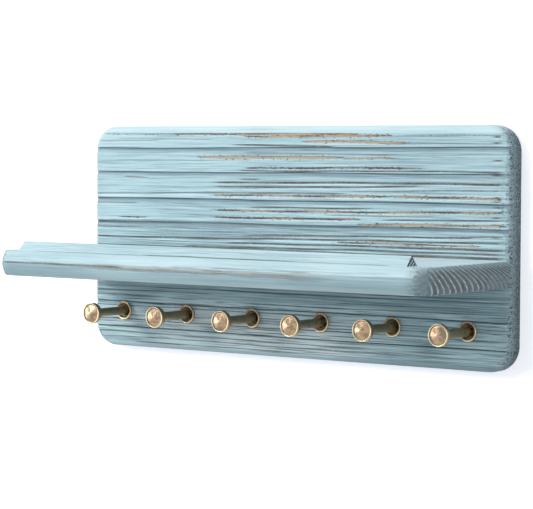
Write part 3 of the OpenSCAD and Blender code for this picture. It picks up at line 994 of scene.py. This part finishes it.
class KEYHOLDER_OT_shelf(bpy.types.Operator):
    """Build the shelf with its bullnose and its cut ends"""
    bl_idname = "keyholder.shelf"
    bl_label = "Shelf"

    def execute(self, context):
        size = values("shelf")
        low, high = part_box("shelf_board")
        shelf = block("painted_shelf", low, high)
        edit(shelf)
        pick(shelf, "edges", lambda e: all(v.co.y < low.y + TOUCH for v in e.verts)
             and abs(e.verts[0].co.z - e.verts[1].co.z) > MM)
        bpy.ops.mesh.bevel(offset=size.corner_radius, segments=18)
        done()
        middle = (low.z + high.z) / 2
        bore(shelf, SHELF_SCREWS, middle, ((-low.y - 0.124, 0.046, 0.00205),))

        # The rear face and the walls of the screw holes stay whole
        hole_reach, nose_depth, hole_field = 0.004, 0.02, 0.16

        def inside(face):
            return face.normal.y > 0.5 or all(
                abs(v.co.z - middle) < hole_reach and v.co.y > low.y + nose_depth and abs(v.co.x) < hole_field
                for v in face.verts)

        half = (high.z - low.z) / 2
        levels = [middle - half * math.cos(math.pi * i / size.levels) for i in range(1, size.levels)]
        column, flat_row, nose_row = 0.004, 0.0009, 0.0008
        slice_rows(shelf, 2, levels, inside)
        slice_rows(shelf, 0, inner(low.x, high.x, column), inside)
        slice_rows(shelf, 1, inner(low.y + size.corner_radius, high.y, flat_row), inside)
        slice_rows(shelf, 1, inner(low.y, low.y + size.corner_radius, nose_row), inside)

        # The level goes from -1 below to 1 above, and the turn from 0 at a cut end to 90 in front
        x, y, z = points(shelf).T
        radius = size.corner_radius / MM
        level = np.clip((z - middle / MM) / (half / MM), -1, 1)
        corner_x, corner_y = high.x / MM - radius, low.y / MM + radius
        over_x = np.clip(np.abs(x) - corner_x, 0, None)
        over_y = np.clip(corner_y - y, 0, None)
        reach = np.hypot(over_x, over_y)
        turn = np.degrees(np.arctan2(over_y, over_x))
        nose_share = ease(turn / 60)
        back = np.where(level > 0, size.back_above, size.back_below) / MM \
            * (1 - np.sqrt(np.clip(1 - level ** 2, 0, 1))) + size.lean / MM * np.abs(level)
        inset = nose_share * back + (1 - nose_share) * (size.end_ease / MM * np.abs(level) ** 12)
        girth = 10 * level + np.sign(level) * (radius - reach) * (np.abs(level) > 0.999)
        girth = np.where(over_y + over_x == 0, np.sign(level) * (10 + radius + y - corner_y), girth)
        taken = 1 - np.where(reach > 0, (radius - inset) / radius, 1)
        placed_x = np.sign(x) * (np.abs(x) - over_x * taken)
        move_points(shelf, np.stack([placed_x, y + over_y * taken, z], axis=1))

        # The corner shades from bare paint to stained end grain, and paint hazes the upper edge
        streaky = 7 * np.sin(girth * 2.1) + 5 * np.sin(girth * 4.7 + 1)
        end = ease((84 - turn + streaky) / 60) * (over_x > 0) * (np.abs(level) < 0.999)
        straight = (over_y == 0) & (np.abs(x) > high.x / MM - 0.5)
        rings = end_rings(y - low.y / MM, (level + 1) * half / MM)
        calmer = ramp(y - low.y / MM, 80, 25) * ramp(level, 0.3, -0.8)
        rings = rings * (1 - 0.6 * calmer) + 0.42 * calmer * 0.6
        rings = rings + (0.36 + 0.10 * np.sin(turn / 5 + girth * 1.2) - rings) * ramp(turn, 6, 22)
        tone, dark, bare, warm, depth = shelf_wear(x, girth)
        # One spot at each corner is worn to the wood
        spot = 0.62 * bell(turn, 52, 9) * bell(girth, 3.6, 1.5) * (over_x > 0)
        mark(shelf, tone=tone, dark=dark * (1 - end),
             bare=np.maximum(bare * (1 - end), spot), cut_end=end, rings=rings,
             haze=0.20 + 0.70 * ramp(level, 0.30, 0.7), speck=np.where(straight, 0.45, 0.12),
             warm=warm, open=np.where(np.abs(girth) < 10, 0.35, 0.25))
        depth = depth * (1 - end) + straight * (1 - rings) * size.ring_height / MM
        press(shelf, np.where(y > high.y / MM - 1, 0, depth))
        finish_piece(shelf, ["shelf_board"], once("worn blue paint", painted_wood), angle=60)
        return {"FINISHED"}


class KEYHOLDER_OT_lip(bpy.types.Operator):
    """Build the three-cornered lip on the shelf"""
    bl_idname = "keyholder.lip"
    bl_label = "Lip"

    def execute(self, context):
        low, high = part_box("shelf_lip")
        lip = block("painted_lip", low, high)
        middle = (low.y + high.y) / 2
        edit(lip)
        pick(lip, "faces", lambda f: f.normal.z > 0.9)
        bpy.ops.transform.resize(value=(1, 0, 1), center_override=(0, middle, high.z))
        select_all()
        bpy.ops.mesh.remove_doubles(threshold=DOUBLE)
        # The sharp ridge stands as far above the strip as the rounding takes off again
        slope = math.atan2(high.z - low.z, (high.y - low.y) / 2)
        ridge = 0.0008
        pick(lip, "verts", lambda v: v.co.z > high.z - TOUCH)
        bpy.ops.transform.translate(value=(0, 0, ridge * (1 / math.cos(slope) - 1)))
        pick(lip, "edges", lambda e: all(v.co.z > high.z - TOUCH for v in e.verts))
        bpy.ops.mesh.bevel(offset=ridge * math.tan(slope / 2) * 1.6, segments=5)
        done()
        foot = lambda f: f.normal.z < -0.9
        column, row, near_end = 0.004, 0.00045, 0.0002
        slice_rows(lip, 0, inner(low.x, high.x, column) + [low.x + near_end, high.x - near_end], foot)
        for axis in (1, 2):
            slice_rows(lip, axis, inner(low[axis], high[axis], row), foot)
        x, y, z = points(lip).T
        z = np.minimum(z, high.z / MM)
        move_points(lip, np.stack([x, y, z], axis=1))
        rise = z - low.z / MM
        end = np.abs(x) > high.x / MM - 0.05
        streaks = list(LIP_STREAKS) + scattered(31, 24, 0, 7, (60, 260), 0.35) \
            + scattered(32, 24, 20, 27, (60, 260), 0.35)
        dark, bare, depth, *_ = lay_streaks(x, np.where(y < middle / MM, rise, rise + 20), streaks, 7)
        stripes = 0.5 + 0.5 * np.cos(math.tau * ((y - low.y / MM) - 1.15 * rise) / 3.7 + 0.6)
        stripes = ease(stripes * 1.7 - 0.5)
        edge = np.clip((np.abs(y - middle / MM) + rise * 0.9375 - 5.4) / 0.9, 0, 1)
        mark(lip, tone=np.where(end, 0.5, 0.2), dark=np.where(end, 1.1 - 1.1 * stripes + edge, dark),
             bare=bare * ~end, open=np.full(len(x), 0.3))
        press(lip, np.where(end, 0.4 * (1 - stripes), depth) * (rise > 0.01))
        finish_piece(lip, ["shelf_lip"], once("worn blue paint", painted_wood), angle=50)
        return {"FINISHED"}


# Turned profiles in millimetres: the distance to the axis and from the front of the board
PEG_PROFILE = (
    (2.05, 10.2), (2.05, 1.2), (3.5, 1.2), (3.5, 8.0), (3.45, 20.0), (3.5, 36.0), (3.55, 37.9),
    (3.7, 38.5), (4.0, 38.82), (5.0, 38.95), (6.0, 39.15), (6.9, 39.48), (7.6, 39.9), (8.1, 40.4),
    (8.38, 41.0), (8.46, 41.8), (8.5, 44.0), (8.47, 44.5), (8.36, 44.82), (8.18, 44.97), (7.95, 45.0),
    (7.65, 44.99), (7.48, 44.88), (7.38, 44.58), (7.22, 44.38), (7.0, 44.34), (6.4, 44.46), (5.2, 44.78),
    (4.0, 45.14), (2.8, 45.50), (1.6, 45.87), (0.8, 46.15), (0.35, 46.27), (0.0, 46.3),
    (0.0, 11.2), (1.2, 11.2), (2.05, 10.2),
)

CUP_PROFILE = (
    (2.25, 1.2), (2.25, 0.0), (6.35, 0.0), (6.5, 0.5), (6.8, 1.0), (7.2, 1.5), (7.5, 2.0),
    (7.7, 2.5), (7.75, 2.95), (7.65, 3.3), (7.42, 3.53), (7.1, 3.6), (6.75, 3.53), (6.4, 3.3), (6.0, 2.9),
    (5.6, 2.4), (5.2, 1.9), (4.8, 1.5), (4.3, 1.27), (3.75, 1.2), (2.25, 1.2),
)

# Screws behind the board, in millimetres: the profile of the head, and of the thread its start
# and end, crest and root radius, pitch, the end of its winding and how much thinner its tip is
SCREWS = (
    ("machine_screw", PEG_SCREWS,
     ((0, 1.4), (1.6, 1.42), (2.6, 1.6), (3.3, 2.0), (3.75, 2.6), (3.9, 3.3), (3.9, 4.0), (2.0, 4.0)),
     (4.6, 24.0, 2.0, 1.68, 0.7, 23.4, 0.0)),
    ("wood_screw", SHELF_SCREWS, ((0, 0.6), (3.85, 0.6), (4.0, 0.75), (2.0, 2.6)),
     (14.0, 44.6, 2.0, 1.35, 1.8, 44.6, 1.5)),
)


class KEYHOLDER_OT_pegs(bpy.types.Operator):
    """Turn the six brass pegs"""
    bl_idname = "keyholder.pegs"
    bl_label = "Pegs"

    def execute(self, context):
        def polish_at(out, ring, _):
            """Bright on the rim, worn bright on the cone face, dark on the shank near the cup."""
            face = out > 43.9
            return 0.24 + 0.03 * ramp(ring, 6, 2) - 0.16 * ramp(out, 9, -3) \
                + 0.75 * ramp(out, 44.55, 0.25) * ramp(ring, 7.4, 0.2) \
                + 0.42 * face * ramp(ring, 7.1, -0.3) - 0.08 * face * bell(ring, 7.15, 0.2)

        turned_row("turned_peg", PEGS, PEG_PROFILE, polish_at)
        return {"FINISHED"}


class KEYHOLDER_OT_cups(bpy.types.Operator):
    """Turn the six dished cups at the feet of the pegs"""
    bl_idname = "keyholder.cups"
    bl_label = "Cups"

    def execute(self, context):
        def polish_at(out, ring, turn):
            """A cup is dark deep in its hollow by the shank; its rim and inner slope are brighter at the
            lower right with painted light.
            """
            rubbed_and_lit = 0.5 + 0.5 * np.cos(turn + 0.5)
            return 0.34 + (0.08 + 0.46 * rubbed_and_lit) * ramp(out, 3.2, 0.3) * ramp(ring, 6.6, 0.4) \
                + 0.62 * rubbed_and_lit * ramp(ring, 4.6, 0.6) * ramp(ring, 7.4, -0.4) * ramp(out, 1.3, 0.4) \
                - 0.40 * ramp(ring, 4.8, -0.8) * (out > 1)

        turned_row("dished_cup", CUPS, CUP_PROFILE, polish_at)
        return {"FINISHED"}


def cross_recess(screw, x, z, depth, width=0.0005, reach=0.0021):
    """Presses a cross recess into a screw's head, from behind."""
    for wide, tall in ((reach, width), (width, reach)):
        cut(screw, block("cross", (x - wide, -depth, z - tall), (x + wide, -OUTSIDE, z + tall)))


def thread(screw, x, z, start, end, crest, root, pitch, taper):
    """Winds a thread round a shank by moving its rings in and out along a helix."""
    place = points(screw)
    dx, dz = place[:, 0] - x, place[:, 2] - z
    ring = np.hypot(dx, dz)
    out = -place[:, 1]
    on = (out > start - 0.01) & (out < end + 0.01) & (ring > root * 0.5)
    phase = np.mod(out / pitch + np.arctan2(dz, dx) / math.tau, 1)
    tooth = np.clip(1 - np.abs(phase - 0.5) * 3.2, 0, 1)
    fade = ease((out - start) / pitch) * ease((end - out) / pitch)
    limit = crest - taper * np.clip((out - (end - 6)) / 6, 0, 1)
    radius = np.where(on, root * limit / crest + (limit - root * limit / crest) * tooth * fade, ring)
    scale = np.where(ring > 0, radius / np.maximum(ring, 1e-6), 1)
    place[:, 0] = x + dx * scale
    place[:, 2] = z + dz * scale
    move_points(screw, place)


class KEYHOLDER_OT_screws(bpy.types.Operator):
    """Turn the screws that hold the pegs and the shelf from behind"""
    bl_idname = "keyholder.screws"
    bl_label = "Screws"

    def execute(self, context):
        for name, nodes, head, (start, end, crest, root, pitch, wound, taper) in SCREWS:
            x, z = centre_of(nodes[0])
            rows = int((end - start) / (pitch / 5))
            shank = [(crest, start + (end - start) * i / rows) for i in range(rows + 1)]
            if taper:
                shank = [(min(crest, 0.25 + (45 - y) * crest / 5.5), y) for _, y in shank] + [(0, 45.0)]
            else:
                shank = shank + [(1.3, 24.2), (0, 24.2)]
            screw = spun(f"{name}_1", list(head) + shank, x, z, 0.0, 28)
            thread(screw, x / MM, z / MM, start, wound, crest, root, pitch, taper)
            cross_recess(screw, x, z, (head[0][1] + 1.5) * MM)
            finish_row(screw, nodes, once("zinc plate", zinc_plate))
        return {"FINISHED"}


def seen(tree, unseen_value, seen_value):
    """One value for the lamps and another where the camera or a reflection looks, with the mask."""
    ray = add_node(tree, "ShaderNodeLightPath")
    mask = calc(tree, "MAXIMUM", ray.outputs["Is Camera Ray"], ray.outputs["Is Glossy Ray"])
    return between(tree, mask, 0.0, 1.0, unseen_value, seen_value, smooth=False), mask


def wall_paint():
    """Plain pale wall, see-through from behind so that the back of the board can be looked at."""
    stage = values("stage")
    material = bpy.data.materials.new("plain wall")
    material.use_nodes = True
    tree = material.node_tree
    tree.nodes.remove(tree.nodes["Principled BSDF"])
    lightness, mask = seen(tree, stage.wall, 0.8)
    flat = add_node(tree, "ShaderNodeBsdfDiffuse",
                    {"Color": blend_colour(tree, lightness, (0, 0, 0, 1), (1.0, 0.96, 0.95, 1))})
    glow = add_node(tree, "ShaderNodeEmission",
                    {"Color": (0.86, 0.92, 1.0, 1), "Strength": times(tree, mask, stage.lift)})
    front = add_node(tree, "ShaderNodeAddShader", {0: flat.outputs[0], 1: glow.outputs[0]})
    clear = add_node(tree, "ShaderNodeBsdfTransparent")
    side = add_node(tree, "ShaderNodeNewGeometry").outputs["Backfacing"]
    both = add_node(tree, "ShaderNodeMixShader", {0: side, 1: front.outputs[0], 2: clear.outputs[0]})
    tree.links.new(both.outputs[0], tree.nodes["Material Output"].inputs["Surface"])
    return material


def lamp(name, turn, rise, size, power):
    """A soft round lamp aimed at the middle, its place given in degrees to the right and up."""
    turn, rise = math.radians(turn), math.radians(rise)
    place = LAMP_DISTANCE * Vector((math.sin(turn) * math.cos(rise), -math.cos(turn) * math.cos(rise),
                                    math.sin(rise)))
    clear_selection()
    bpy.ops.object.light_add(type="AREA", location=place)
    made = bpy.context.object
    made.name = name
    made.data.shape = "DISK"
    made.data.size = size
    made.data.energy = power
    made.rotation_euler = (-place).to_track_quat("-Z", "Y").to_euler()


# Distance of the lamps and the point that the camera looks at, in metres
LAMP_DISTANCE = 2.4
LOOK_AT = (-0.03197, 0, -0.01131)


class KEYHOLDER_OT_stage(bpy.types.Operator):
    """Set up the wall, the lamps and the camera"""
    bl_idname = "keyholder.stage"
    bl_label = "Stage"

    def execute(self, context):
        stage = values("stage")
        scene = context.scene
        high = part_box("backboard")[1]
        clear_selection()
        bpy.ops.mesh.primitive_plane_add(size=5, location=(0, 0.0005, 0), rotation=(math.pi / 2, 0, 0))
        wall = apply_place("wall")
        edit(wall)
        # The board hides an opening in the wall, through which light from behind reaches its back
        radius = values("board").corner_radius
        lines = []
        for side_x, side_z in ((-1, -1), (-1, 1), (1, -1), (1, 1)):
            corner = Vector((side_x * (high.x - radius), 0, side_z * (high.z - radius)))
            for turn in range(0, 91, 15):
                normal = Vector((side_x * math.cos(math.radians(turn)), 0,
                                 side_z * math.sin(math.radians(turn))))
                lines.append((corner + normal * (radius - 0.001), normal))
        for place, normal in lines:
            select_all()
            bpy.ops.mesh.bisect(plane_co=place, plane_no=normal)
        pick(wall, "faces", lambda f: all((f.calc_center_median() - place).dot(normal) < 0
                                          for place, normal in lines))
        bpy.ops.mesh.delete(type="FACE")
        done()
        wall.data.materials.append(wall_paint())

        lamp("top", -30, 65, 1.1, stage.top)
        lamp("main", -35, 22.5, 1.0, stage.main)
        lamp("left", -68, -2, 1.0, stage.left)
        lamp("right", 45, 5, 1.2, stage.right)
        lamp("back", 165, 25, 1.2, stage.back)

        scene.world = scene.world or bpy.data.worlds.new("room")
        scene.world.use_nodes = True
        tree = scene.world.node_tree
        back = tree.nodes["Background"]
        back.inputs["Color"].default_value = (0.95, 0.98, 1.0, 1)
        tree.links.new(seen(tree, stage.sky, stage.room)[0], back.inputs["Strength"])

        yaw, pitch, roll = stage.yaw, stage.pitch, stage.roll
        right = Vector((math.cos(yaw), math.sin(yaw), 0))
        level = Vector((-math.sin(yaw), math.cos(yaw), 0))
        up = Vector((0, 0, 1))
        forward = level * math.cos(pitch) - up * math.sin(pitch)
        raised = up * math.cos(pitch) + level * math.sin(pitch)
        axis_x = right * math.cos(roll) + raised * math.sin(roll)
        axis_y = raised * math.cos(roll) - right * math.sin(roll)
        matrix = Matrix((axis_x, axis_y, -forward)).transposed().to_4x4()
        matrix.translation = Vector(LOOK_AT) - forward * stage.distance
        clear_selection()
        bpy.ops.object.camera_add()
        camera = context.object
        camera.matrix_world = matrix
        camera.data.sensor_width = 36
        camera.data.lens = stage.focal
        camera.data.clip_start = 0.01
        camera.data.clip_end = 20
        scene.camera = camera
        scene.view_settings.view_transform = "Standard"
        return {"FINISHED"}


STEPS = (KEYHOLDER_OT_board, KEYHOLDER_OT_shelf, KEYHOLDER_OT_lip, KEYHOLDER_OT_pegs,
         KEYHOLDER_OT_cups, KEYHOLDER_OT_screws, KEYHOLDER_OT_stage)


class KEYHOLDER_PT_panel(bpy.types.Panel):
    """Lists the steps and the values that they use"""
    bl_idname = "KEYHOLDER_PT_panel"
    bl_label = "Wall Key Holder"
    bl_space_type = "VIEW_3D"
    bl_region_type = "UI"
    bl_category = "Key Holder"

    def draw(self, context):
        for step in STEPS:
            self.layout.operator(step.bl_idname)
        for name in VALUES:
            box = self.layout.box()
            box.label(text=name.capitalize())
            group = values(name)
            for item in group.__annotations__:
                box.prop(group, item)


CLASSES = tuple(VALUES.values()) + STEPS + (KEYHOLDER_PT_panel,)


def register():
    for item in CLASSES:
        bpy.utils.register_class(item)
    for name, group in VALUES.items():
        setattr(bpy.types.Scene, "key_holder_" + name, PointerProperty(type=group))


def unregister():
    for name in VALUES:
        delattr(bpy.types.Scene, "key_holder_" + name)
    for item in reversed(CLASSES):
        bpy.utils.unregister_class(item)


def main():
    register()
    bpy.ops.keyholder.board()
    bpy.ops.keyholder.shelf()
    bpy.ops.keyholder.lip()
    bpy.ops.keyholder.pegs()
    bpy.ops.keyholder.cups()
    bpy.ops.keyholder.screws()
    bpy.ops.keyholder.stage()
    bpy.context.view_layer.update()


if __name__ == "__main__":
    main()
